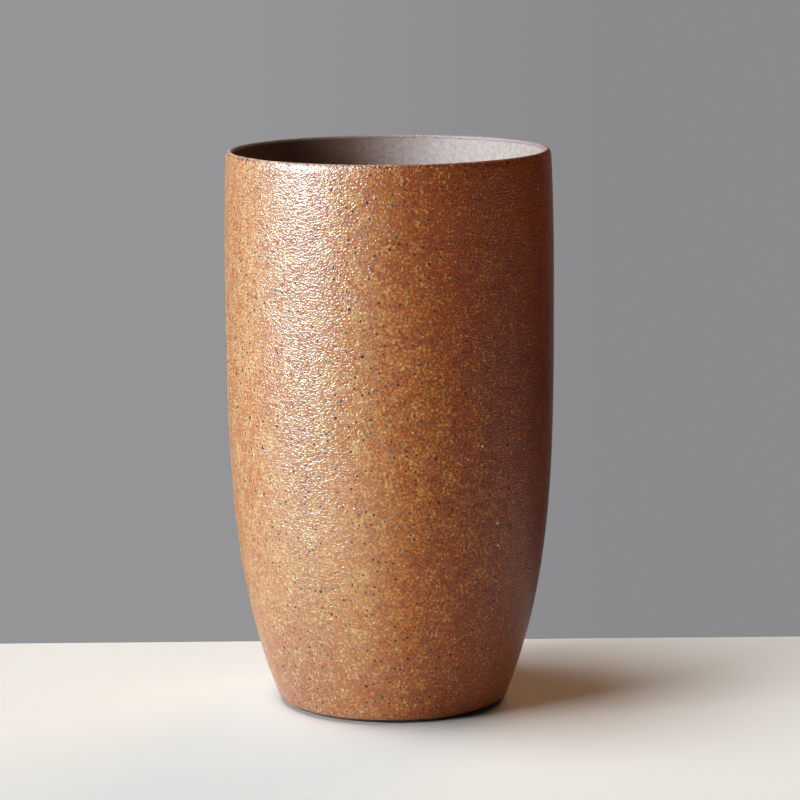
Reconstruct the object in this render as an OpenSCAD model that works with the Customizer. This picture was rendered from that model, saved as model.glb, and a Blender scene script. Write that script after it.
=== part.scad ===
// Wheel-thrown stoneware tumbler without a handle, glazed outside and lined inside.
// Millimetres. The axis of the cup is Z and the cup stands on Z = 0.
// Sizes of the outside are of the glazed cup, and the clay is that much smaller.

/* [Outside form] */
// Diameter over the glaze at the widest ring
body_d = 80; // [64:0.5:100]
// Height from the table to the top of the lip, over the glaze
body_h = 136; // [100:0.5:180]
// Height of the widest ring above the table
belly_h = 108; // [60:0.5:125]
// Diameter over the glaze that the side closes to at the lip
mouth_d = 78.7; // [70:0.1:88]
// Diameter over the glaze that the side would have at the table with no heel rounding
foot_d = 55.3; // [46:0.1:70]
// How late the side swells from the foot to the widest ring: 2 is a parabola
swell_power = 3.6; // [1.6:0.1:6]
// How late the side closes from the widest ring to the lip
close_power = 2.2; // [1.5:0.1:4]

/* [Clay wall] */
// Level thickness of the clay wall below the lip
wall_t = 3.2; // [2:0.1:5]
// Thickness of the clay floor over the foot recess
floor_t = 4.5; // [3:0.1:8]
// Radius of the round corner between the inside wall and the floor
floor_round = 12; // [4:0.5:16]

/* [Lip] */
// Thickness of the clay at the lip
lip_t = 0.9; // [0.6:0.05:2]
// Length over which the wall thins upward to the lip
lip_thin_h = 25; // [8:1:50]
// Height of the round on the outer edge of the lip
lip_round_h = 1.7; // [0.6:0.1:4]
// Radius of the small round on the inner edge of the lip
lip_inner_round = 0.2; // [0.1:0.05:0.5]

/* [Foot] */
// Height of the round heel
heel_h = 2.2; // [1.6:0.1:6]
// How far the round heel draws in under the side
heel_w = 2.4; // [1:0.1:5]
// Width of the ring that the cup stands on
foot_ring_w = 4; // [2:0.1:8]
// Depth of the trimmed recess inside the foot ring
recess_h = 2; // [0.5:0.1:4]

/* [Glaze] */
// Thickness of the outer glaze
glaze_t = 0.3; // [0.15:0.05:0.8]
// Height on the heel at which the outer glaze stops
glaze_line_h = 1.2; // [0.4:0.1:1.5]
// How far the outer glaze wraps down inside the lip
lip_wrap_h = 0.6; // [0.55:0.05:6]
// Thickness of the liner glaze
liner_t = 0.3; // [0.15:0.05:0.8]

/* [Hidden] */
$fn = 180;
// Points along the side, and along each round
side_steps = 36;
round_steps = 7;
// Sizes of the bare clay
clay_r = body_d / 2 - glaze_t;
clay_mouth_r = mouth_d / 2 - glaze_t;
clay_foot_r = foot_d / 2 - glaze_t;
clay_h = body_h - glaze_t;
lip_outer_round = lip_t - lip_inner_round;
floor_z = recess_h + floor_t;
stand_r = clay_foot_r - heel_w;
recess_r = stand_r - foot_ring_w;

// Radius of the clay's outside at height z, before the heel and the lip are rounded
function swell(z) = (clay_r - clay_foot_r) * pow(max(0, belly_h - z) / belly_h, swell_power);
function closing(z) = (clay_r - clay_mouth_r) * pow(max(0, z - belly_h) / (clay_h - belly_h), close_power);
function side_r(z) = clay_r - swell(z) - closing(z);

// Radius of the clay's inside at height z: the wall thins towards the lip
function thinning(z) = pow(max(0, z - clay_h + lip_thin_h) / lip_thin_h, 2);
function inside_r(z) = side_r(z) - wall_t + (wall_t - lip_t) * thinning(z);

// Share of a round that is drawn in at angle a: 0 where it starts and 1 where it ends
function drawn_in(a) = 1 - cos(a);

// Stretches of the clay's section as [radius, height], up the outside and down the inside
glaze_line_a = asin(1 - glaze_line_h / heel_h);
function heel_point(a) = [side_r(heel_h * (1 - sin(a))) - heel_w * drawn_in(a), heel_h * (1 - sin(a))];
bare_heel = [for (i = [0 : round_steps]) heel_point(90 + (glaze_line_a - 90) * i / round_steps)];
glazed_heel = [for (i = [1 : round_steps]) heel_point(glaze_line_a * (1 - i / round_steps))];

side_top = clay_h - lip_round_h;
function side_z(i) = heel_h + (side_top - heel_h) * i / side_steps;
side = [for (i = [1 : side_steps]) [side_r(side_z(i)), side_z(i)]];

function lip_outer_z(a) = side_top + lip_round_h * sin(a);
function lip_outer_point(a) = [side_r(lip_outer_z(a)) - lip_outer_round * drawn_in(a), lip_outer_z(a)];
function lip_inner_z(a) = clay_h - lip_inner_round * (1 - sin(a));
function lip_inner_point(a) = [inside_r(lip_inner_z(a)) + lip_inner_round * drawn_in(a), lip_inner_z(a)];
lip = concat(
    [for (i = [1 : round_steps]) lip_outer_point(90 * i / round_steps)],
    [for (i = [1 : round_steps]) lip_inner_point(90 - 90 * i / round_steps)],
    [[inside_r(clay_h - lip_wrap_h), clay_h - lip_wrap_h]]
);

bowl_low = floor_z + floor_round;
function inside_z(i) = clay_h - lip_wrap_h - (clay_h - lip_wrap_h - bowl_low) * i / side_steps;
inside = [for (i = [1 : side_steps]) [inside_r(inside_z(i)), inside_z(i)]];

function floor_round_z(a) = bowl_low - floor_round * sin(a);
function floor_point(a) = [inside_r(floor_round_z(a)) - floor_round * drawn_in(a), floor_round_z(a)];
floor_line = concat(
    [for (i = [1 : round_steps]) floor_point(90 * i / round_steps)],
    [[0, floor_z]]
);

underside = [[0, recess_h], [recess_r - recess_h, recess_h], [recess_r, 0]];

// The whole clay surface, and the places on it where the coats begin and end
skin = concat(bare_heel, glazed_heel, side, lip, inside, floor_line);
glaze_start = len(bare_heel) - 1;
glaze_meet = len(concat(bare_heel, glazed_heel, side, lip)) - 1;
skin_end = len(skin) - 1;

// A point of the skin moved out square to the surface by t
function along(i) = skin[min(i + 1, skin_end)] - skin[max(i - 1, 0)];
function raised(i, t) = skin[i] + t * [along(i)[1], -along(i)[0]] / norm(along(i));

// A coat of thickness t on the skin from point a to point b
module coat(a, b, t) {
    rotate_extrude()
        polygon(concat(
            [for (i = [a : b]) raised(i, t)],
            [for (i = [b : -1 : a]) skin[i]]
        ));
}

// Thrown and trimmed wall, floor and foot ring
module clay_body() {
    color("#5a4334")
        rotate_extrude()
            polygon(concat(skin, underside));
}

// Speckled iron-brown coat on the outside and over the lip
module outer_glaze() {
    color("#9a5c34")
        coat(glaze_start, glaze_meet, glaze_t);
}

// Smooth taupe coat inside
module liner_glaze() {
    color("#a89a93")
        coat(glaze_meet, skin_end, liner_t);
}

clay_body();
outer_glaze();
liner_glaze();
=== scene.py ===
# %% [markdown]
# A tall stoneware cup without a handle, thrown on a wheel and fired with a speckled iron-brown glaze.
# The real cup has three layers: the fired clay, the brown glaze outside and a plain taupe glaze inside.
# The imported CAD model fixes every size, and this script gives the three layers their skin and finish.
# All lengths are metres in the CAD frame: Z is the axis of the cup, and the table is at Z = 0.

# %% Load the CAD frame
import math
import bmesh
import bpy
import numpy as np
from mathutils import Matrix, Vector, noise


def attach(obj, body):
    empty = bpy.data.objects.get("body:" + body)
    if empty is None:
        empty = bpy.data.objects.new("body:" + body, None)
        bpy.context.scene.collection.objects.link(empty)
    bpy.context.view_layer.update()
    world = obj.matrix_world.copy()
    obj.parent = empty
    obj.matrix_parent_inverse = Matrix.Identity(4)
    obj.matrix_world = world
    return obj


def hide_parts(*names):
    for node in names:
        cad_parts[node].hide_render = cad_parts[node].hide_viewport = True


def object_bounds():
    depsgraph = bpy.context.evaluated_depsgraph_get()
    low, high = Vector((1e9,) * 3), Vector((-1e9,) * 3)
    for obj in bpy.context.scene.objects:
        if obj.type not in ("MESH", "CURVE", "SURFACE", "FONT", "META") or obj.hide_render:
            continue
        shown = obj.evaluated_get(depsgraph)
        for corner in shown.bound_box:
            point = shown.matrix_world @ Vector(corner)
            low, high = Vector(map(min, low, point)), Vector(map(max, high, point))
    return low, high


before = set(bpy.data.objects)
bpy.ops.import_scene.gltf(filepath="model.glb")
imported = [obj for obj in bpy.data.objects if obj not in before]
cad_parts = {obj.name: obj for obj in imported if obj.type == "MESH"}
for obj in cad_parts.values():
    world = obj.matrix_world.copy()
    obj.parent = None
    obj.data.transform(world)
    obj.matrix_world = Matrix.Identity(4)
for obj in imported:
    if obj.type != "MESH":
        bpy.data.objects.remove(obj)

MM = 0.001
cad_low, cad_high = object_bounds()
print("cup in the CAD frame, mm:", [round(side / MM, 2) for side in cad_high - cad_low])

# %% [markdown]
# The cup is seen from well back through a long lens, from a little above the rim, with a slight lean.
# A camera could be placed by eye, but here its place was worked out from the outline of the real cup.
# Blender's camera looks along its own -Z, so it is stood upright first and then turned step by step.

# %% Camera
CAMERA_BACK = 822.4 * MM
CAMERA_UP = 214.9 * MM
LENS = 153.5
SENSOR = 36
LOOK_DOWN = math.radians(9.694)
LOOK_RIGHT = math.radians(0.1585)
LEAN = math.radians(-0.4953)

camera_data = bpy.data.cameras.new("camera")
camera_data.lens = LENS
camera_data.sensor_width = SENSOR
camera = bpy.data.objects.new("camera", camera_data)
bpy.context.scene.collection.objects.link(camera)
upright = Matrix.Rotation(math.radians(90), 4, "X")
turned = Matrix.Rotation(-LOOK_DOWN, 4, "X") @ Matrix.Rotation(-LOOK_RIGHT, 4, "Z") @ upright
camera.matrix_world = (
    Matrix.Translation((0, -CAMERA_BACK, CAMERA_UP)) @ turned @ Matrix.Rotation(LEAN, 4, "Z")
)
bpy.context.scene.camera = camera
bpy.context.scene.view_settings.view_transform = "Standard"
print("camera at, mm:", [round(x / MM, 1) for x in camera.location])

# %% [markdown]
# Colours are written as the hex values that a paint program shows. Blender's shaders work in linear light,
# so one function turns hex into linear numbers. One more adds a node with its settings and its links:
# a value that is itself a socket is linked, and any other value is written on the node's own input.
# Nodes could be placed by hand in the editor, but written down they can be read and changed in one place.

# %% Colour and node helpers
def linear(hex_colour):
    """A hex colour as linear red, green, blue and alpha."""
    parts = [int(hex_colour[i:i + 2], 16) / 255 for i in (1, 3, 5)]
    return [p / 12.92 if p <= 0.04045 else ((p + 0.055) / 1.055) ** 2.4 for p in parts] + [1.0]


def per_mm(size_mm):
    """The texture scale at which one cell of a pattern is size_mm wide."""
    return 1 / (size_mm * MM)


SMOOTH = {"interpolation_type": "SMOOTHSTEP"}
TIMES = {"operation": "MULTIPLY"}
MIX = {"data_type": "RGBA"}
TINT = {"data_type": "RGBA", "blend_type": "MULTIPLY"}


def add(tree, kind, settings=None, inputs=None):
    """Adds one node, sets its fields, and writes or links its inputs."""
    made = tree.nodes.new(kind)
    for field, value in (settings or {}).items():
        setattr(made, field, value)
    for socket, value in (inputs or {}).items():
        if isinstance(value, bpy.types.NodeSocket):
            tree.links.new(value, made.inputs[socket])
        else:
            made.inputs[socket].default_value = value
    return made


def new_material(name):
    """An empty material: its node tree, and the coordinates of the piece in metres."""
    material = bpy.data.materials.new(name)
    material.use_nodes = True
    material.node_tree.nodes.clear()
    where = add(material.node_tree, "ShaderNodeTexCoord").outputs["Object"]
    return material, material.node_tree, where


def finish_material(tree, surface):
    """Links the shader to the material's output."""
    add(tree, "ShaderNodeOutputMaterial", None, {"Surface": surface.outputs["BSDF"]})


print("sand in linear light:", [round(c, 3) for c in linear("#d8c4a0")[:3]])

# %% [markdown]
# The cup stands near the back edge of a table laid with pale cloth, in front of a grey wall. Neither is
# part of it, so a plain slab with a rounded back edge is enough. A flat plane would do for the front view,
# but this slab hangs down a long way at the back, so that a view from behind sees cloth and not its end.
# The cloth is quite matte, so the slab has no gloss at all and mirrors no lamp.

# %% Table
TABLE_BEHIND = 59.2 * MM
TABLE_FRONT = 1500 * MM
TABLE_SIDE = 1200 * MM
TABLE_DROP = 600 * MM
EDGE_ROUND = 1.5 * MM
EDGE_STEPS = 8


def make_table():
    """A slab whose back edge is rounded, as one strip of faces pulled along X."""
    strip = [(-TABLE_FRONT, 0.0)]
    for i in range(EDGE_STEPS + 1):
        a = math.radians(90) * i / EDGE_STEPS
        strip.append((TABLE_BEHIND + EDGE_ROUND * (math.sin(a) - 1), EDGE_ROUND * (math.cos(a) - 1)))
    strip.append((TABLE_BEHIND, -TABLE_DROP))
    points = [(x, y, z) for y, z in strip for x in (-TABLE_SIDE, TABLE_SIDE)]
    faces = [(2 * i, 2 * i + 1, 2 * i + 3, 2 * i + 2) for i in range(len(strip) - 1)]
    mesh = bpy.data.meshes.new("table")
    mesh.from_pydata(points, [], faces)
    mesh.shade_smooth()
    table = bpy.data.objects.new("table", mesh)
    bpy.context.scene.collection.objects.link(table)
    return table


table = make_table()
cloth, tree, where = new_material("plain pale table linen")
finish_material(tree, add(tree, "ShaderNodeBsdfPrincipled", None, {
    "Base Color": linear("#ece8e2"), "Roughness": 0.9, "Specular IOR Level": 0.0}))
table.data.materials.append(cloth)
print("table edge behind the axis, mm:", round(TABLE_BEHIND / MM, 1))

# %% [markdown]
# The wall is a plain mid grey, a shade darker on the right. A wall can be built, but the world can be it
# too: the camera and the reflections see the grey, while the light that the world sheds is set apart.
# The grey runs with the direction that is looked in, so it needs no geometry and casts no shadow.
# Away from straight ahead, reflections see a dim warm room instead, because a glaze mirrors all round it.

# %% Grey wall and fill light
WALL_LEFT = linear("#959597")
WALL_RIGHT = linear("#8a8a8c")
DIM_ROOM = linear("#463c35")
FILL = linear("#ffffff")
FILL_STRENGTH = 0.02
SHADE_LEFT, SHADE_RIGHT = -0.04, 0.06
STRAIGHT_AHEAD, WELL_ASIDE = 0.995, 0.85

world = bpy.data.worlds.new("grey room")
bpy.context.scene.world = world
world.use_nodes = True
tree = world.node_tree
tree.nodes.clear()
looked = add(tree, "ShaderNodeTexCoord").outputs["Generated"]
across = add(tree, "ShaderNodeSeparateXYZ", None, {"Vector": looked})
shade = add(tree, "ShaderNodeMapRange", None, {
    "Value": across.outputs["X"], "From Min": SHADE_LEFT, "From Max": SHADE_RIGHT})
wall = add(tree, "ShaderNodeMix", MIX, {"Factor": shade.outputs["Result"], "A": WALL_LEFT, "B": WALL_RIGHT})
aside = add(tree, "ShaderNodeMapRange", SMOOTH, {
    "Value": across.outputs["Y"], "From Min": STRAIGHT_AHEAD, "From Max": WELL_ASIDE})
ray = add(tree, "ShaderNodeLightPath")
dim = add(tree, "ShaderNodeMath", TIMES, {0: aside.outputs["Result"], 1: ray.outputs["Is Glossy Ray"]})
wall = add(tree, "ShaderNodeMix", MIX, {
    "Factor": dim.outputs[0], "A": wall.outputs["Result"], "B": DIM_ROOM})
sees = add(tree, "ShaderNodeMath", {"operation": "MAXIMUM"}, {
    0: ray.outputs["Is Camera Ray"], 1: ray.outputs["Is Glossy Ray"]})
sees = add(tree, "ShaderNodeMath", {"operation": "MAXIMUM"}, {
    0: sees.outputs[0], 1: ray.outputs["Is Transmission Ray"]})
wall_light = add(tree, "ShaderNodeBackground", None, {"Color": wall.outputs["Result"], "Strength": 1.0})
fill_light = add(tree, "ShaderNodeBackground", None, {"Color": FILL, "Strength": FILL_STRENGTH})
both = add(tree, "ShaderNodeMixShader", None, {
    0: sees.outputs[0], 1: fill_light.outputs[0], 2: wall_light.outputs[0]})
add(tree, "ShaderNodeOutputWorld", None, {"Surface": both.outputs[0]})
print("wall grey:", [round(c, 3) for c in WALL_LEFT[:3]])

# %% [markdown]
# The cup is lit by one big window on the left, a little in front of it. An area light of that size gives
# the same soft edge between light and shade. The glaze throws back a wider, whiter gleam than such a lamp
# can give without bleaching the browns, so a second lamp reaches only the gloss: no diffuse light.
# A skylight fills in from above, and a weak warm window behind on the right lifts the dark side, without
# a gleam. A place is given as the direction in which it is seen from the cup, because that is what shows.
# All four are 5 m away, so that the cup is lit evenly from top to bottom.

# %% Window light
LIGHT_DISTANCE = 5000 * MM
CUP_MIDDLE = (cad_low + cad_high) / 2


def add_window(name, left_deg, up_deg, width, height, power, colour):
    """An area light seen from the cup left_deg to the left of the camera and up_deg above the table."""
    left = math.radians(left_deg)
    up = math.radians(up_deg)
    towards = Vector((-math.sin(left) * math.cos(up), -math.cos(left) * math.cos(up), math.sin(up)))
    data = bpy.data.lights.new(name, "AREA")
    data.shape = "RECTANGLE"
    data.size = width
    data.size_y = height
    data.energy = power
    data.color = linear(colour)[:3]
    light = bpy.data.objects.new(name, data)
    light.location = CUP_MIDDLE + towards * LIGHT_DISTANCE
    light.rotation_mode = "QUATERNION"
    light.rotation_quaternion = (-towards).to_track_quat("-Z", "Y")
    bpy.context.scene.collection.objects.link(light)
    print("light", name, "at, mm:", [round(x / MM) for x in light.location])
    return light


add_window(
    "window", left_deg=61, up_deg=16, width=2320 * MM, height=1050 * MM, power=282, colour="#f6fbff")
gleam = add_window(
    "gleam", left_deg=67, up_deg=26, width=2300 * MM, height=2500 * MM, power=2250, colour="#dfe7ff")
gleam.visible_diffuse = False
add_window(
    "skylight", left_deg=88, up_deg=72, width=2200 * MM, height=2200 * MM, power=168, colour="#edf9ff")
far = add_window(
    "far window", left_deg=-150, up_deg=46, width=2200 * MM, height=2200 * MM, power=60, colour="#ffc997")
far.visible_glossy = False

# %% [markdown]
# Every layer of a thrown cup is turned, so a section through it says all about its form. The section could
# be typed in again here, but the CAD nodes already hold it, and read from them it cannot differ.
# Swinging all points of a node into one plane and merging them leaves the outline of its section,
# which is then walked from end to end.

# %% Read a section from a CAD node
MERGE = 2e-6


def section(node_name):
    """The rings of a turned CAD node as radius and height, in order along its section."""
    flat = bmesh.new()
    flat.from_mesh(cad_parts[node_name].data)
    for point in flat.verts:
        point.co = (math.hypot(point.co.x, point.co.y), 0, point.co.z)
    bmesh.ops.remove_doubles(flat, verts=flat.verts, dist=MERGE)
    ends = [v for v in flat.verts if len(v.link_edges) == 1]
    here = min(ends or flat.verts, key=lambda v: v.co.z if not ends else -v.co.x)
    steps = [edge.other_vert(here) for edge in here.link_edges]
    ahead = max(steps, key=lambda v: v.co.x)
    path = [here, ahead]
    while True:
        onward = [e.other_vert(path[-1]) for e in path[-1].link_edges]
        onward = [v for v in onward if v not in path[-2:] and v is not path[0]]
        if not onward or onward[0] in path:
            break
        path.append(onward[0])
    points = np.array([(v.co.x, v.co.z) for v in path])
    print(node_name, "section:", len(points), "rings of", len(flat.verts), "closed" if not ends else "open")
    flat.free()
    return points


sections = {name: section(name) for name in sorted(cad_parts)}

# %% [markdown]
# The outline from the CAD is made of short straight steps, which a satin glaze would show as faint bands.
# A curve through the same points hides them, where a Subdivision modifier would draw in the edges too.
# A real corner is kept and only rounded a little: over half a millimetre on the clay, and over less on
# the thin coats, so that their edges still meet. Each fine point also gets the direction that points
# out of the material.

# %% Draw a smooth curve through a section
FINE_STEP = 0.05 * MM
CORNER = math.radians(25)
CORNER_ROUND = {"clay_body": 0.5 * MM, "outer_glaze": 0.15 * MM, "liner_glaze": 0.15 * MM}


def to_axis(points):
    """Carries an open section straight on to the axis of the cup at both ends."""
    first, last = [[(0.0, end[1])] if end[0] > MERGE else [] for end in (points[0], points[-1])]
    return np.array(first + [tuple(p) for p in points] + last)


def smooth_path(points, corner_round):
    """The section as fine steps: how far along, radius, height, and the direction out of the material."""
    legs = np.diff(points, axis=0)
    lengths = np.hypot(*legs.T)
    ways = legs / lengths[:, None]
    turns = np.abs(np.arctan2(ways[:-1, 0] * ways[1:, 1] - ways[:-1, 1] * ways[1:, 0],
                              (ways[:-1] * ways[1:]).sum(1)))
    weight = (lengths**2)[:, None]  # a long straight leg keeps its own direction beside a short one
    mean_ways = ways[:-1] * weight[:-1] + ways[1:] * weight[1:]
    mean_ways /= np.hypot(*mean_ways.T)[:, None]
    leaving, arriving = ways.copy(), ways.copy()
    soft = turns < CORNER
    leaving[1:][soft] = mean_ways[soft]
    arriving[:-1][soft] = mean_ways[soft]
    fine, knots = [], [0]
    for i, length in enumerate(lengths):
        t = np.linspace(0, 1, max(2, round(length / FINE_STEP)), endpoint=False)[:, None]
        knots.append(knots[-1] + len(t))
        fine.append((2 * t**3 - 3 * t**2 + 1) * points[i] + (t**3 - 2 * t**2 + t) * length * leaving[i]
                    + (3 * t**2 - 2 * t**3) * points[i + 1] + (t**3 - t**2) * length * arriving[i])
    fine = np.concatenate(fine + [points[-1:]])
    window = np.hanning(round(corner_round / FINE_STEP) // 2 * 2 + 3)
    reach = len(window) // 2
    for side in (0, 1):
        fine[reach:-reach, side] = np.convolve(fine[:, side], window / window.sum(), "valid")
    along = np.concatenate([[0], np.cumsum(np.hypot(*np.diff(fine, axis=0).T))])
    way = np.gradient(fine, axis=0)
    way /= np.hypot(*way.T)[:, None]
    return {"along": along, "r": fine[:, 0], "z": fine[:, 1], "out_r": way[:, 1], "out_z": -way[:, 0],
            "knots": along[knots]}


paths = {}
for name, points in sections.items():
    points = points if name == "outer_glaze" else to_axis(points)
    paths[name] = smooth_path(points, CORNER_ROUND[name])
for name, path in paths.items():
    print(name, "section length, mm:", round(path["along"][-1] / MM, 1), "in", len(path["along"]), "steps")

# %% [markdown]
# A mesh needs rows of points along the curve. Even rows would either waste points on the straight side or
# cut the small rounds, so the rows come closer together wherever the curve bends. Each point is
# then placed on the turned surface and lifted off it, which is how relief gets into the glaze.

# %% Rows along the curve
ROW_TURN = math.radians(7)
LEAST_BEND = 1e-6


def place(path, along, lift):
    """Points on the turned surface: rows along the path, columns round the axis, lifted off it by lift."""
    at = {key: np.interp(along, path["along"], path[key]) for key in ("r", "z", "out_r", "out_z")}
    angle = 2 * math.pi * np.arange(along.shape[1]) / along.shape[1]
    radius = at["r"] + at["out_r"] * lift
    height = np.maximum(at["z"] + at["out_z"] * lift, cad_low.z)
    return np.stack([radius * np.cos(angle), radius * np.sin(angle), height], axis=-1)


def lay_rows(path, start, end, widest, finest):
    """How far along the path each row lies from start to end: closer together where the path bends."""
    heading = np.unwrap(np.arctan2(-path["out_r"], path["out_z"]))
    bend = np.abs(np.gradient(heading, path["along"]))
    step = np.clip(ROW_TURN / np.maximum(bend, LEAST_BEND), finest, widest)
    inside = (path["along"] >= start) & (path["along"] <= end)
    count = np.concatenate([[0], np.cumsum(np.diff(path["along"][inside]) / step[inside][1:])])
    steps = max(2, math.ceil(count[-1]))
    rows = np.interp(np.linspace(0, count[-1], steps + 1), count, path["along"][inside])
    rows[0], rows[-1] = start, end
    return rows


clay = paths["clay_body"]
print("rows on the clay, 4 mm apart at most:", len(lay_rows(clay, 0, clay["along"][-1], 4 * MM, MM)))

# %% [markdown]
# A lathe in code: rows of points go along the section, and columns go round the axis.
# Blender's Screw modifier could spin the outline too, but here each point can be lifted by itself,
# which a hand-laid glaze needs. Edges that turn by more than 40 degrees stay crisp under smooth shading.
# The flat map for baking is the same grid, unrolled like a label.

# %% Build a turned mesh
BAKE_MAP = "OFBake"
CRISP = math.radians(40)
HIDDEN_SHARE = 0.05
LEAST_ROW = 0.02 * MM
MAP_EDGE, MAP_SPAN = 0.002, 0.995


def turned_piece(name, grid, share, closed, node):
    """A mesh from a grid of points. share is each row's place in the flat map, from 0 to 1."""
    rows, columns = grid.shape[:2]
    points = [tuple(p) for p in grid.reshape(-1, 3)]
    faces, flat = [], []
    for i in range(rows if closed else rows - 1):
        low, high = i * columns, (i + 1) % rows * columns
        top = share[i + 1] if i + 1 < rows else 1.0
        for j in range(columns):
            k = (j + 1) % columns
            faces.append((low + j, low + k, high + k, high + j))
            u, v = j / columns, (j + 1) / columns
            flat += [(u, share[i]), (v, share[i]), (v, top), (u, top)]
    if not closed:
        for row, pole_share in ((0, 0.0), (rows - 1, 1.0)):
            pole = len(points)
            ring = grid[row]
            points.append((0.0, 0.0, float(ring[:, 2].mean())))
            for j in range(columns):
                k = (j + 1) % columns
                a, b = (j, k) if row else (k, j)
                faces.append((row * columns + a, row * columns + b, pole))
                u = [(j + (1 if x != j else 0)) / columns for x in (a, b)]
                flat += [(u[0], share[row]), (u[1], share[row]), ((j + 0.5) / columns, pole_share)]
    mesh = bpy.data.meshes.new(name)
    mesh.from_pydata(points, [], faces)
    mesh.uv_layers.new(name=BAKE_MAP).data.foreach_set("uv", np.array(flat, np.float32).ravel())
    mesh.shade_smooth()
    mesh.set_sharp_from_angle(angle=CRISP)
    piece = bpy.data.objects.new(name, mesh)
    bpy.context.scene.collection.objects.link(piece)
    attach(piece, "root")
    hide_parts(node)
    print(name, "has", len(points), "points and", len(faces), "faces")
    return piece


def swell(points, size, shift):
    """Smooth noise from 0 to 1 at each point. size is the width of one swelling."""
    flat = points.reshape(-1, 3) / size + shift
    return np.array([noise.noise(p) for p in flat]).reshape(points.shape[:2]) * 0.5 + 0.5


def full_share(rows, seen):
    """Each row's place in the flat map: stretches that nobody sees take little of it."""
    lengths = np.maximum(np.abs(np.diff(rows)), LEAST_ROW)
    room = np.where(seen[:-1] & seen[1:], 1.0, HIDDEN_SHARE) * lengths
    placed = np.concatenate([[0], np.cumsum(room)])
    return MAP_EDGE + MAP_SPAN * placed / placed[-1]


example = full_share(np.array([0, 1, 2]) * MM, np.array([True, True, False]))
print("three rows, the last one hidden, lie in the flat map at", example.round(3))

# %% [markdown]
# The outer glaze is a skin 0.3 mm thick. Where it was wiped off above the table its edge is thin and round
# and wanders a little. Inside the lip it keeps its full thickness, because it meets the liner there.
# Its slow swellings, some millimetres wide, are real relief in this mesh. The orange peel over them is
# under a millimetre wide, and the material adds it, because a mesh that fine would be too heavy.

# %% Outer glaze
GLAZE_COLUMNS = 360
GLAZE_T = 0.3 * MM
EDGE_W = 0.6 * MM
EDGE_START = 0.03 * MM
WANDER_SIZE, LINE_WANDER = 9 * MM, 0.2 * MM
LINE_FADE = 4 * MM
SLOW_SIZE, SLOW_DEPTH = 6 * MM, 0.06 * MM
MIDDLE_SIZE, MIDDLE_DEPTH = 2.4 * MM, 0.04 * MM
CALM_W = 2 * MM
JUST_SHORT = 0.01 * MM
GLAZE_ROWS = (0.65 * MM, 0.12 * MM)  # the widest and the finest row
HIDDEN_ROWS = (4 * MM, 0.3 * MM)


def edge_round(distance):
    """How full the coat is at a distance from its edge: 0 at the edge and 1 past EDGE_W."""
    return np.sqrt(1 - (1 - np.clip(distance / EDGE_W, 0, 1)) ** 2)


def make_outer_glaze():
    """The brown coat: its seen side with relief, closed by a plain side against the clay."""
    path = paths["outer_glaze"]
    half = len(path["knots"]) // 2
    seen_end, back_start = path["knots"][half - 1], path["knots"][half]
    seen = lay_rows(path, EDGE_START, seen_end - JUST_SHORT, *GLAZE_ROWS)
    angle = 2 * math.pi * np.arange(GLAZE_COLUMNS) / GLAZE_COLUMNS
    ring = np.stack([np.cos(angle), np.sin(angle), 0 * angle], axis=-1)[None] * cad_high.x
    wander = (swell(ring, WANDER_SIZE, shift=3.1)[0] - 0.5) * 2 * LINE_WANDER
    along = seen[:, None] + wander[None] * np.clip(1 - seen / LINE_FADE, 0, 1)[:, None]
    along = np.maximum(along, 0)
    base = place(path, along, np.zeros_like(along))
    relief = SLOW_DEPTH * swell(base, SLOW_SIZE, shift=0.0)
    relief += MIDDLE_DEPTH * swell(base, MIDDLE_SIZE, shift=7.7)
    full = edge_round(seen)[:, None]
    calm = np.clip(np.minimum(seen, seen_end - seen) / CALM_W, 0, 1)[:, None]
    front = place(path, along, -GLAZE_T * (1 - full) - relief * calm)
    hidden = lay_rows(path, back_start, path["along"][-1], *HIDDEN_ROWS)
    back = place(path, np.repeat(hidden[:, None], GLAZE_COLUMNS, 1), np.zeros((len(hidden), GLAZE_COLUMNS)))
    rows = np.concatenate([seen, hidden])
    is_seen = np.arange(len(rows)) < len(seen)
    return turned_piece("brown_glaze", np.concatenate([front, back]), full_share(rows, is_seen),
                        True, "outer_glaze")


brown_glaze = make_outer_glaze()

# %% [markdown]
# The liner was poured into the cup and out again, so it lies smooth and even, with only slow swellings.
# It faces the inside of the bowl down to the floor, and its back lies on the clay and is never seen.
# A Solidify modifier could give it thickness, but one turned mesh does both sides and keeps the CAD's back,
# with close rows where the section bends.

# %% Liner glaze
LINER_COLUMNS = 300
LINER_SIZE, LINER_DEPTH = 9 * MM, 0.05 * MM
LINER_ROWS = (0.9 * MM, 0.15 * MM)
SEEN_CENTRE, HIDDEN_CENTRE = 0.6 * MM, 3 * MM  # how near the axis the rows come


def nearest_along(path, point):
    """How far along the path lies the place nearest to a point of radius and height."""
    return path["along"][np.argmin(np.hypot(path["r"] - point[0], path["z"] - point[1]))]


def make_liner():
    """The taupe coat: a hidden back, a thin edge inside the lip, and the seen side down to the floor."""
    path = paths["liner_glaze"]
    outer = sections["outer_glaze"]
    half = len(outer) // 2
    meet_back, meet_front = nearest_along(path, outer[half]), nearest_along(path, outer[half - 1])
    hidden = lay_rows(path, HIDDEN_CENTRE, meet_back, *HIDDEN_ROWS)
    seen = lay_rows(path, meet_front + JUST_SHORT, path["along"][-1] - SEEN_CENTRE, *LINER_ROWS)
    rows = np.concatenate([hidden, seen])
    is_seen = np.arange(len(rows)) >= len(hidden)
    along = np.repeat(rows[:, None], LINER_COLUMNS, 1)
    base = place(path, along, np.zeros_like(along))
    from_edge = np.where(is_seen, rows - meet_front, 0)[:, None]
    lift = -LINER_DEPTH * swell(base, LINER_SIZE, shift=4.4) * np.clip(from_edge / CALM_W, 0, 1)
    return turned_piece("taupe_liner", place(path, along, lift), full_share(rows, is_seen),
                        False, "liner_glaze")


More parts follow.
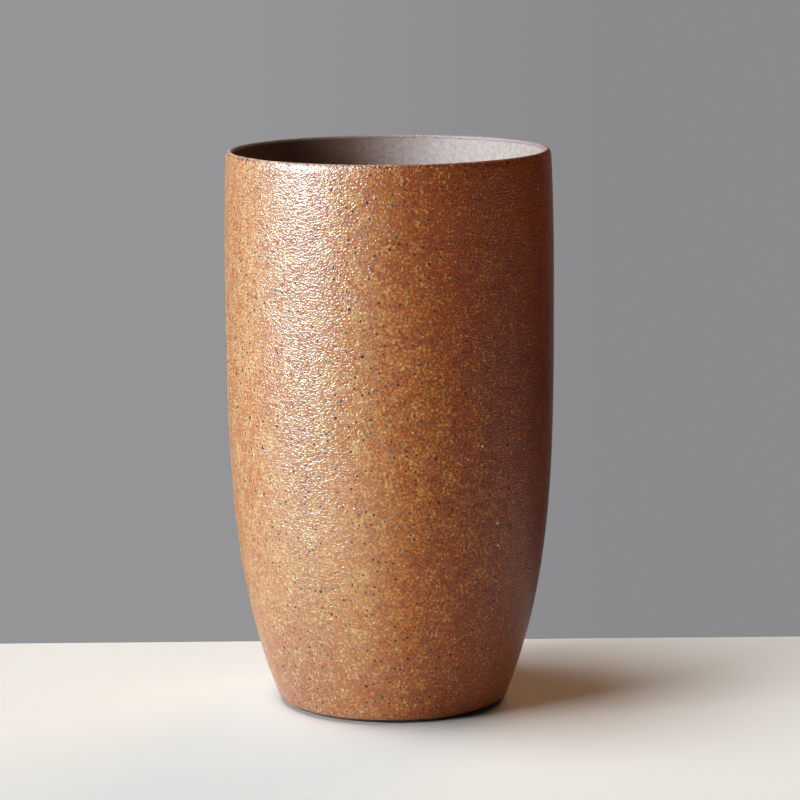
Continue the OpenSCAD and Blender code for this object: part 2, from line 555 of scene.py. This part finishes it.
taupe_liner = make_liner()

# %% [markdown]
# The clay shows only where the glaze was wiped off: the heel, the ring it stands on and the recess in it.
# It was trimmed on the wheel when leather hard, and the trimming tool left fine rings and dragged grit.
# Both could be bump alone, but a foot is looked at closely, so the rings and the grit are real relief.
# The rest of the clay lies under glaze and keeps the plain outline of its CAD node.

# %% Clay body
CLAY_COLUMNS = 360
TRIM_PITCH, TRIM_DEPTH = 1.7 * MM, 0.07 * MM
GRIT_SIZE, GRIT_DEPTH = 1.1 * MM, 0.05 * MM
BARE_ROWS = (0.4 * MM, 0.15 * MM)
LINE_GAP = 0.3 * MM
RECESS_MARGIN = 1 * MM
CALM_LINE = 1 * MM


def make_clay():
    """The fired clay: a trimmed and gritty foot, and a plain skin under the two glazes."""
    path = paths["clay_body"]
    line = nearest_along(path, sections["outer_glaze"][-1])
    bare = lay_rows(path, SEEN_CENTRE, line, *BARE_ROWS)
    covered = lay_rows(path, line + LINE_GAP, path["along"][-1] - HIDDEN_CENTRE, *HIDDEN_ROWS)
    rows = np.concatenate([bare, covered])
    is_seen = np.arange(len(rows)) < len(bare)
    along = np.repeat(rows[:, None], CLAY_COLUMNS, 1)
    base = place(path, along, np.zeros_like(along))
    radius = np.hypot(base[..., 0], base[..., 1])
    angle = 2 * math.pi * np.arange(CLAY_COLUMNS) / CLAY_COLUMNS
    spiral = 0.5 - 0.5 * np.cos(2 * math.pi * radius / TRIM_PITCH + angle)
    in_recess = (radius < sections["clay_body"][0][0] - RECESS_MARGIN) & is_seen[:, None]
    calm = np.clip((line - rows) / CALM_LINE, 0, 1)[:, None]
    lift = -TRIM_DEPTH * spiral * in_recess - GRIT_DEPTH * swell(base, GRIT_SIZE, shift=1.9) * calm
    return turned_piece("bare_clay", place(path, along, lift), full_share(rows, is_seen),
                        False, "clay_body")


bare_clay = make_clay()

# %% [markdown]
# Glaze and clay are patterned by grains: iron specks, feldspar and quartz that melted in place.
# Voronoi cells make good grains: each cell has one centre, and a spot is drawn where the surface passes
# close to it. Because the cells fill space, the spots come out in many sizes, as grains in real clay do.
# The other patterns are noise, and a colour ramp turns its numbers into colours.

# %% Grains, paint and colour stops
GRAIN_SOFT = 0.35


def grains(tree, where, cell_mm, radius_mm, share):
    """A mask that is 1 inside scattered round grains. share is the part of the cells that hold one."""
    cells = add(tree, "ShaderNodeTexVoronoi", None, {"Vector": where, "Scale": per_mm(cell_mm)})
    reach = radius_mm / cell_mm
    inside = add(tree, "ShaderNodeMapRange", SMOOTH, {
        "Value": cells.outputs["Distance"],
        "From Min": reach * (1 + GRAIN_SOFT), "From Max": reach * (1 - GRAIN_SOFT)})
    draw = add(tree, "ShaderNodeSeparateColor", None, {"Color": cells.outputs["Color"]})
    kept = add(tree, "ShaderNodeMath", {"operation": "LESS_THAN"}, {0: draw.outputs[0], 1: share})
    return add(tree, "ShaderNodeMath", TIMES, {0: inside.outputs["Result"], 1: kept.outputs[0]}).outputs[0]


def paint(tree, under, mask, over, strength=1.0):
    """Lays a hex colour or a coloured socket over another colour where the mask is."""
    amount = add(tree, "ShaderNodeMath", TIMES, {0: mask, 1: strength})
    top = linear(over) if isinstance(over, str) else over
    return add(tree, "ShaderNodeMix", MIX, {
        "Factor": amount.outputs[0], "A": under, "B": top}).outputs["Result"]


def with_stops(made, stops):
    """Gives a colour ramp its (place, hex colour) stops, and hands back its colour."""
    band = made.color_ramp
    while len(band.elements) < len(stops):
        band.elements.new(1.0)
    for element, (position, colour) in zip(band.elements, stops):
        element.position = position
        element.color = linear(colour)
    return made.outputs["Color"]


print("an iron speck of 0.29 mm in 1.7 mm cells reaches", round(0.29 / 1.7, 3), "of a cell")

# %% [markdown]
# The outside is a satin iron glaze. Iron and feldspar are spread unevenly in such a glaze, so the eye
# sees a mottled ground. From side to side it runs from buff to deep rust. That is partly its own tone and
# partly painted light on the lit left and painted shade on the shaded right, where the mottling is painted
# paler or darker too. It is redder in a band under the lip on the right, and darker and redder towards the
# foot.
# A painted image could hold all that, but it would blur close up. Here one ramp gives the colour from side
# to side, matched to the cup, and two more turn a noise into mottling over it.
# In these functions spot is the place on the cup, side runs from 0 on its left to 1 on its right, and
# value is the noise.

# %% Ground of the iron glaze
LIP_BAND = (80 * MM, 125 * MM)  # the band begins at the first height and is full at the second
FOOT_BAND = (35 * MM, 8 * MM)


def glaze_ground_with_painted_light(tree, spot, side, value):
    """Mottled ground with painted light left and painted shade right, redder under the lip and at the foot.
    """
    # painted light and shade: buff on the lit left and deep rust on the shaded right, over the glaze's own
    # tone
    ground = with_stops(add(tree, "ShaderNodeValToRGB", None, {"Fac": side}), [
        (0.07, "#d8ac7a"), (0.23, "#bb9560"), (0.40, "#cd9a5e"), (0.53, "#c57a28"), (0.70, "#b15900"),
        (0.95, "#832a00")])
    # the mottling in two copies: a paler one painted as lit for the left, a darker one painted as shaded
    # for the right
    pale = with_stops(add(tree, "ShaderNodeValToRGB", None, {"Fac": value}), [
        (0.30, "#d4a28b"), (0.50, "#edd4be"), (0.65, "#ffffff")])
    deep = with_stops(add(tree, "ShaderNodeValToRGB", None, {"Fac": value}), [
        (0.30, "#a88a84"), (0.50, "#e1d0ce"), (0.65, "#ffffff")])
    right = add(tree, "ShaderNodeMapRange", SMOOTH, {"Value": side, "From Min": 0.35, "From Max": 0.65})
    mottling = add(tree, "ShaderNodeMix", MIX, {"Factor": right.outputs["Result"], "A": pale, "B": deep})
    colour = add(tree, "ShaderNodeMix", TINT, {
        "Factor": 1.0, "A": ground, "B": mottling.outputs["Result"]}).outputs["Result"]
    rise = add(tree, "ShaderNodeMapRange", SMOOTH, {
        "Value": spot["Z"], "From Min": LIP_BAND[0], "From Max": LIP_BAND[1]})
    rusty = add(tree, "ShaderNodeMath", TIMES, {0: rise.outputs["Result"], 1: right.outputs["Result"]})
    colour = paint(tree, colour, rusty.outputs[0], "#9a3c02", 0.5)
    low = add(tree, "ShaderNodeMapRange", SMOOTH, {
        "Value": spot["Z"], "From Min": FOOT_BAND[0], "From Max": FOOT_BAND[1]})
    return paint(tree, colour, low.outputs["Result"], "#94451c", 0.4)


print("the band under the lip begins at, mm:", round(LIP_BAND[0] / MM))

# %% [markdown]
# Where feldspar melted through, the glaze turns buff in spots and little clusters. Their buff is paler on
# the left and darker and more golden on the right: painted light and painted shade with the side of the
# cup.
# Low on the left side lies a lighter patch. Both could be painted by hand on the flat map, but masks made
# from the noise and from the place on the cup need no image.

# %% Melted feldspar and a lighter patch
CUP_HEIGHT = 136 * MM


def melted_feldspar(tree, colour, side, value, drift):
    """Buff where feldspar melted through, over clouds that are slightly redder or greener."""
    # painted light and shade: the buff is paler on the lit left and darker on the shaded right
    melted = with_stops(add(tree, "ShaderNodeValToRGB", None, {"Fac": side}), [
        (0.2, "#dcc29a"), (0.6, "#d29a52"), (0.95, "#a8601c")])
    buff = add(tree, "ShaderNodeMapRange", SMOOTH, {"Value": value, "From Min": 0.57, "From Max": 0.79})
    colour = paint(tree, colour, buff.outputs["Result"], melted)
    clouds = with_stops(add(tree, "ShaderNodeValToRGB", None, {"Fac": drift}), [
        (0.36, "#fff3f0"), (0.64, "#fdfff2")])
    return add(tree, "ShaderNodeMix", TINT, {"Factor": 1.0, "A": colour, "B": clouds}).outputs["Result"]


def lighter_low_patch(tree, colour, spot, side):
    """A lighter patch low on the left side."""
    up = add(tree, "ShaderNodeMapRange", None, {"Value": spot["Z"], "From Max": CUP_HEIGHT})
    height = with_stops(add(tree, "ShaderNodeValToRGB", None, {"Fac": up.outputs["Result"]}), [
        (0.0, "#000000"), (0.35, "#ffffff"), (0.55, "#000000")])
    width = with_stops(add(tree, "ShaderNodeValToRGB", None, {"Fac": side}), [
        (0.08, "#000000"), (0.20, "#ffffff"), (0.32, "#ffffff"), (0.55, "#000000")])
    patch = add(tree, "ShaderNodeMath", TIMES, {0: height, 1: width})
    return paint(tree, colour, patch.outputs[0], "#e0b080", 0.25)


print("the thin patch is palest at a height of, mm:", round(0.35 * CUP_HEIGHT / MM))

# %% [markdown]
# Fine ash lies in the glaze. It is grey on the left and is painted darker towards the shaded right, nearly
# black there: painted shade. Its blue-grey flecks also stand for fine glints. Cream grains of quartz lie in
# it too, paler grains that also stand for painted glints, and slate and black specks where iron burst.
# Particles could be scattered for them, but they lie in the coat and not on it, so masks do it. A speck is
# some tenths of a millimetre wide.
# Real ash is finer than that. It is drawn 0.42 mm wide, about as fine as a picture of the whole cup shows.

# %% Ash and specks
ASH_MM = 0.42
ASH_STRENGTH = 0.45
SPECKS = [
    # cell mm, radius mm, share of the cells, colour, strength
    # the first, pale kind are grains that also stand for painted glints, small white points of light
    (1.5, 0.17, 0.2, "#dad8cf", 0.55),
    (1.6, 0.34, 0.3, "#485256", 0.7),
    (1.7, 0.29, 0.55, "#262a2c", 0.95),
    (3.4, 0.42, 0.3, "#101016", 0.95),
    (5.0, 0.3, 0.3, "#f0e2cc", 0.8),
]


def ash_and_specks(tree, colour, where, side):
    """Fine ash, and then each kind of grain over it."""
    ash = add(tree, "ShaderNodeTexNoise", None, {"Vector": where, "Scale": per_mm(ASH_MM), "Detail": 0.0})
    flecks = add(tree, "ShaderNodeMapRange", SMOOTH, {
        "Value": ash.outputs["Fac"], "From Min": 0.53, "From Max": 0.68})
    # painted shade: the ash is grey on the lit left and nearly black on the shaded right; its flecks also
    # stand for glints
    ash_lit_and_shaded = with_stops(add(tree, "ShaderNodeValToRGB", None, {"Fac": side}), [
        (0.15, "#8b959c"), (0.45, "#78837f"), (0.62, "#465046"), (0.82, "#2d362c")])
    colour = paint(tree, colour, flecks.outputs["Result"], ash_lit_and_shaded, ASH_STRENGTH)
    for cell_mm, radius_mm, share, speck, strength in SPECKS:
        colour = paint(tree, colour, grains(tree, where, cell_mm, radius_mm, share), speck, strength)
    return colour


print("kinds of speck:", len(SPECKS))

# %% [markdown]
# A glaze draws back from an edge while it melts, so the lip is thin and dry, and taupe just inside, where
# it mixes with the liner. A broken dark line along its outer edge is painted shade. A separate ring of mesh
# could carry that, but it is one coat with no joint, so masks by height and by distance from the axis find
# the places.

# %% Thin glaze on the lip
GLAZE_ROUGHNESS = 0.31
LIP_ROUGHNESS = 0.65
LIP_LOW = 133 * MM
# each mask below is 0 at the first distance from the axis, or height, and 1 at the second
MIXED_R = (38.6 * MM, 38.0 * MM)
DRY_R = (39.2 * MM, 38.6 * MM)
SHADE_LINE_R = (38.65 * MM, 38.9 * MM)
SHADE_LINE_Z = (135.0 * MM, 135.5 * MM)


def thin_lip(tree, colour, spot, mottle):
    """The colour with taupe inside, painted shade on the lip's outer edge, and how rough the coat is."""
    level = add(tree, "ShaderNodeCombineXYZ", None, {"X": spot["X"], "Y": spot["Y"]})
    out = add(tree, "ShaderNodeVectorMath", {"operation": "LENGTH"}, {0: level.outputs["Vector"]})
    high = add(tree, "ShaderNodeMath", {"operation": "GREATER_THAN"}, {0: spot["Z"], 1: LIP_LOW})
    mixed_at, dry_at, shade_line_at = [
        add(tree, "ShaderNodeMapRange", SMOOTH, {
            "Value": out.outputs["Value"], "From Min": start, "From Max": end}).outputs["Result"]
        for start, end in (MIXED_R, DRY_R, SHADE_LINE_R)]
    mixed = add(tree, "ShaderNodeMath", TIMES, {0: mixed_at, 1: high.outputs[0]})
    colour = paint(tree, colour, mixed.outputs[0], "#94817a", 0.95)
    crest = add(tree, "ShaderNodeMapRange", SMOOTH, {
        "Value": spot["Z"], "From Min": SHADE_LINE_Z[0], "From Max": SHADE_LINE_Z[1]})
    broken = add(tree, "ShaderNodeMapRange", SMOOTH, {"Value": mottle, "From Min": 0.62, "From Max": 0.46})
    line = add(tree, "ShaderNodeMath", TIMES, {0: crest.outputs["Result"], 1: broken.outputs["Result"]})
    line = add(tree, "ShaderNodeMath", TIMES, {0: line.outputs[0], 1: shade_line_at})
    # painted shade: a broken dark line along the outer edge of the crest
    colour = paint(tree, colour, line.outputs[0], "#4a2a16", 0.75)
    dry = add(tree, "ShaderNodeMath", TIMES, {0: dry_at, 1: high.outputs[0]})
    rough = add(tree, "ShaderNodeMapRange", None, {
        "Value": dry.outputs[0], "To Min": GLAZE_ROUGHNESS, "To Max": LIP_ROUGHNESS})
    return colour, rough.outputs["Result"]


print("the dark line begins below the top of the lip by, mm:", round((cad_high.z - SHADE_LINE_Z[0]) / MM, 2))

# %% [markdown]
# Orange peel is left where small bubbles burst in the melt and heal over. It is bump from a noise and from
# ripples, because real relief that fine would need millions of points. Real peel can be finer, but these
# are drawn 0.42 and 0.85 mm wide, about as fine as a picture of the whole cup shows, and a little shallower
# low down. The coat is fairly smooth in itself, but its peel throws the light in so many directions
# that the gleam spreads into short white strokes.

# %% Orange peel
PEEL_MM = 0.42
RIPPLE_MM = 0.85
RIPPLE_SHARE = 0.42
PEEL_DEPTH = 0.12 * MM
LOW_DEPTH = 0.9 * PEEL_DEPTH
PEEL_Z = (50 * MM, 130 * MM)
WAVE_PERIOD = math.pi / 10  # a wave texture of scale 1 repeats every pi / 10 metres


def orange_peel(tree, where, spot):
    """The bumped normal of a coat with fine peel and soft level ripples."""
    peel = add(tree, "ShaderNodeTexNoise", None, {"Vector": where, "Scale": per_mm(PEEL_MM), "Detail": 0.0})
    ripple = add(tree, "ShaderNodeTexWave", {"bands_direction": "Z"}, {
        "Vector": where, "Scale": WAVE_PERIOD * per_mm(RIPPLE_MM), "Distortion": 8.0, "Detail": 1.0,
        "Detail Scale": 3.0, "Detail Roughness": 0.5})
    height = add(tree, "ShaderNodeMath", {"operation": "MULTIPLY_ADD"}, {
        0: ripple.outputs["Fac"], 1: RIPPLE_SHARE, 2: peel.outputs["Fac"]})
    depth = add(tree, "ShaderNodeMapRange", SMOOTH, {
        "Value": spot["Z"], "From Min": PEEL_Z[0], "From Max": PEEL_Z[1],
        "To Min": LOW_DEPTH, "To Max": PEEL_DEPTH})
    return add(tree, "ShaderNodeBump", None, {
        "Height": height.outputs[0], "Distance": depth.outputs["Result"]}).outputs["Normal"]


print("peel is deep, mm:", round(LOW_DEPTH / MM, 3), "to", round(PEEL_DEPTH / MM, 3))

# %% [markdown]
# Now the parts of the satin iron glaze come together under one shader: ground with its painted light and
# shade, melted feldspar, lighter patch, ash and specks, lip and peel. Two shaders could be mixed for glaze
# and grain, but it is all glass.
# Two noises steer the pattern: mottles 0.6 mm wide as on the real cup, and clouds of 3.2 mm over which they
# drift paler and darker. Glazes have an index of refraction of about 1.5, and roughness 0.2 to 0.4 looks
# satin. 1.42 and 0.31 were matched to how bright and how wide the gleam is.

# %% Iron-brown satin glaze
GLAZE_IOR = 1.42
MOTTLE_MM = 0.6
DRIFT_MM = 3.2
DRIFT_SHARE = 0.4


def iron_glaze():
    """Procedural satin iron glaze, from its mottled ground to its orange peel."""
    material, tree, where = new_material("iron-brown satin glaze")
    spot = add(tree, "ShaderNodeSeparateXYZ", None, {"Vector": where}).outputs
    side = add(tree, "ShaderNodeMapRange", None, {
        "Value": spot["X"], "From Min": cad_low.x, "From Max": cad_high.x}).outputs["Result"]
    mottle = add(tree, "ShaderNodeTexNoise", None, {
        "Vector": where, "Scale": per_mm(MOTTLE_MM), "Detail": 1.0, "Roughness": 0.5}).outputs["Fac"]
    drift = add(tree, "ShaderNodeTexNoise", None, {
        "Vector": where, "Scale": per_mm(DRIFT_MM), "Detail": 2.0, "Roughness": 0.6}).outputs["Fac"]
    shift = add(tree, "ShaderNodeMath", {"operation": "MULTIPLY_ADD"}, {
        0: drift, 1: DRIFT_SHARE, 2: -DRIFT_SHARE / 2})
    value = add(tree, "ShaderNodeMath", {"operation": "ADD"}, {0: mottle, 1: shift.outputs[0]}).outputs[0]
    colour = glaze_ground_with_painted_light(tree, spot, side, value)
    colour = melted_feldspar(tree, colour, side, value, drift)
    colour = lighter_low_patch(tree, colour, spot, side)
    colour = ash_and_specks(tree, colour, where, side)
    colour, rough = thin_lip(tree, colour, spot, mottle)
    finish_material(tree, add(tree, "ShaderNodeBsdfPrincipled", None, {
        "Base Color": colour, "Roughness": rough, "IOR": GLAZE_IOR,
        "Normal": orange_peel(tree, where, spot)}))
    return material


brown_glaze.data.materials.append(iron_glaze())
print("nodes in the iron glaze:", len(brown_glaze.data.materials[0].node_tree.nodes))

# %% [markdown]
# The liner is a plain taupe glaze with faint pin-head freckles. Its taupe is painted darker and browner
# towards the left: painted shade where the inside of the cup lies in shade. It is duller than the outside,
# so the window leaves no strokes of light on it, only a soft change from dark to pale. Its clouds could be
# painted too, but one noise of 1 mm is enough here, and another of 1.4 mm gives it a barely uneven skin as
# bump.

# %% Taupe satin liner
LINER_ROUGHNESS = 0.75
CLOUD_MM = 1.0
SKIN_MM = 1.4
SKIN_DEPTH = 0.05 * MM
FRECKLES = (1.8, 0.22, 0.4)  # cell mm, radius mm, share of the cells


def taupe_glaze():
    """Procedural taupe glaze with faint clouds and freckles."""
    material, tree, where = new_material("taupe satin liner glaze")
    across = add(tree, "ShaderNodeSeparateXYZ", None, {"Vector": where}).outputs["X"]
    side = add(tree, "ShaderNodeMapRange", None, {
        "Value": across, "From Min": cad_low.x, "From Max": cad_high.x}).outputs["Result"]
    # painted shade: the taupe darkens to brown towards the left, where the inside lies in shade
    base = with_stops(add(tree, "ShaderNodeValToRGB", None, {"Fac": side}), [
        (0.20, "#704a32"), (0.38, "#825c3f"), (0.52, "#a08a7c"), (0.65, "#b3a598"), (0.85, "#b3a698")])
    cloud = add(tree, "ShaderNodeTexNoise", None, {
        "Vector": where, "Scale": per_mm(CLOUD_MM), "Detail": 3.0, "Roughness": 0.65}).outputs["Fac"]
    cloudy = with_stops(add(tree, "ShaderNodeValToRGB", None, {"Fac": cloud}), [
        (0.35, "#dcd8d8"), (0.65, "#ffffff")])
    colour = add(tree, "ShaderNodeMix", TINT, {"Factor": 1.0, "A": base, "B": cloudy}).outputs["Result"]
    colour = paint(tree, colour, grains(tree, where, *FRECKLES), "#6f6059", 0.5)
    skin = add(tree, "ShaderNodeTexNoise", None, {"Vector": where, "Scale": per_mm(SKIN_MM), "Detail": 1.0})
    bumped = add(tree, "ShaderNodeBump", None, {"Height": skin.outputs["Fac"], "Distance": SKIN_DEPTH})
    finish_material(tree, add(tree, "ShaderNodeBsdfPrincipled", None, {
        "Base Color": colour, "Roughness": LINER_ROUGHNESS, "IOR": GLAZE_IOR,
        "Normal": bumped.outputs["Normal"]}))
    return material


taupe_liner.data.materials.append(taupe_glaze())
print("nodes in the taupe glaze:", len(taupe_liner.data.materials[0].node_tree.nodes))

# %% [markdown]
# Bare stoneware of iron-bearing clay is matte and dark brown, with coarse grit that the sponge uncovered.
# A brown colour with bump would pass from afar. Dark and pale grains make it clay when it is picked up.
# Its colour and its bump change over about 1.2 mm, the width of coarse grit, and a roughness of 0.85 is
# usual for clay without glaze.

# %% Bare stoneware
CLAY_MM = 1.2
CLAY_DEPTH = 0.15 * MM
CLAY_ROUGHNESS = 0.85
DARK_GRIT = (1.1, 0.2, 0.5)  # cell mm, radius mm, share of the cells
PALE_GRIT = (2.6, 0.3, 0.5)


def bare_stoneware():
    """Procedural bare fired clay: dark brown, gritty and matte."""
    material, tree, where = new_material("bare iron-bearing stoneware")
    body = add(tree, "ShaderNodeTexNoise", None, {
        "Vector": where, "Scale": per_mm(CLAY_MM), "Detail": 3.0, "Roughness": 0.65}).outputs["Fac"]
    colour = with_stops(add(tree, "ShaderNodeValToRGB", None, {"Fac": body}), [
        (0.3, "#3d2a20"), (0.7, "#6a4c3a")])
    colour = paint(tree, colour, grains(tree, where, *DARK_GRIT), "#241a17", 0.9)
    colour = paint(tree, colour, grains(tree, where, *PALE_GRIT), "#b39a80", 0.8)
    bumped = add(tree, "ShaderNodeBump", None, {"Height": body, "Distance": CLAY_DEPTH})
    finish_material(tree, add(tree, "ShaderNodeBsdfPrincipled", None, {
        "Base Color": colour, "Roughness": CLAY_ROUGHNESS, "Normal": bumped.outputs["Normal"]}))
    return material


bare_clay.data.materials.append(bare_stoneware())
print("materials:", [m.name for m in bpy.data.materials])
